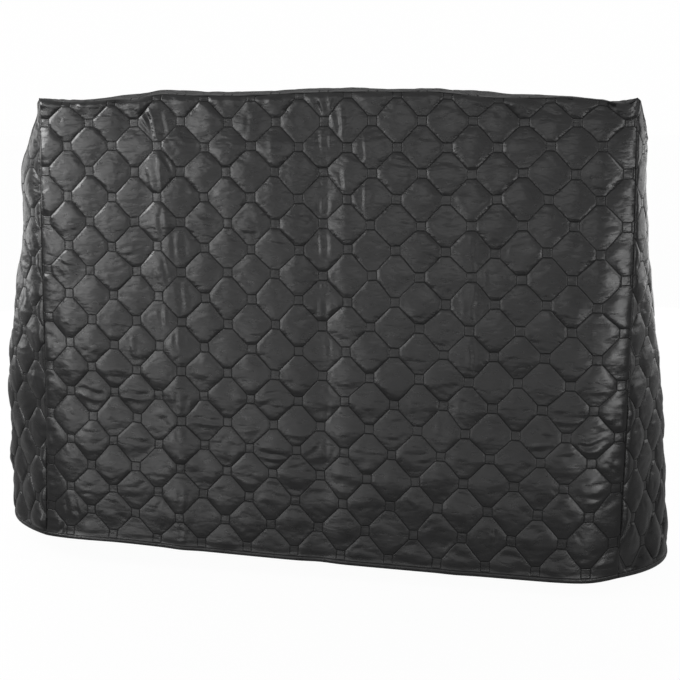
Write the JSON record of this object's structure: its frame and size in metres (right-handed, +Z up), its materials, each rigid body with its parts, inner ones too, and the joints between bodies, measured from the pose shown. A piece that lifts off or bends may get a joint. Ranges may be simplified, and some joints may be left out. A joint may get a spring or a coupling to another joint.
{
  "type": "quilted upright piano cover",
  "caption": "Hollow box of quilted black satin that drops over an upright piano, with belling side panels and an open bottom.",
  "frame": {"origin": "on the piano's lid, at the middle of the top panel's underside at rim height", "axes": "+Z up, X along the piano's length with +X to the right of someone facing the front, front facing -Y"},
  "size_m": [1.8126, 0.523, 1.1966],
  "materials": {
    "quilted_satin": "satin with a soft sheen, quilted in octagons and small squares"
  },
  "bodies": {
    "root": {"front_panel": "quilted_satin", "back_panel": "quilted_satin", "left_side_panel": "quilted_satin", "right_side_panel": "quilted_satin", "top_panel": "quilted_satin"}
  },
  "joints": []
}
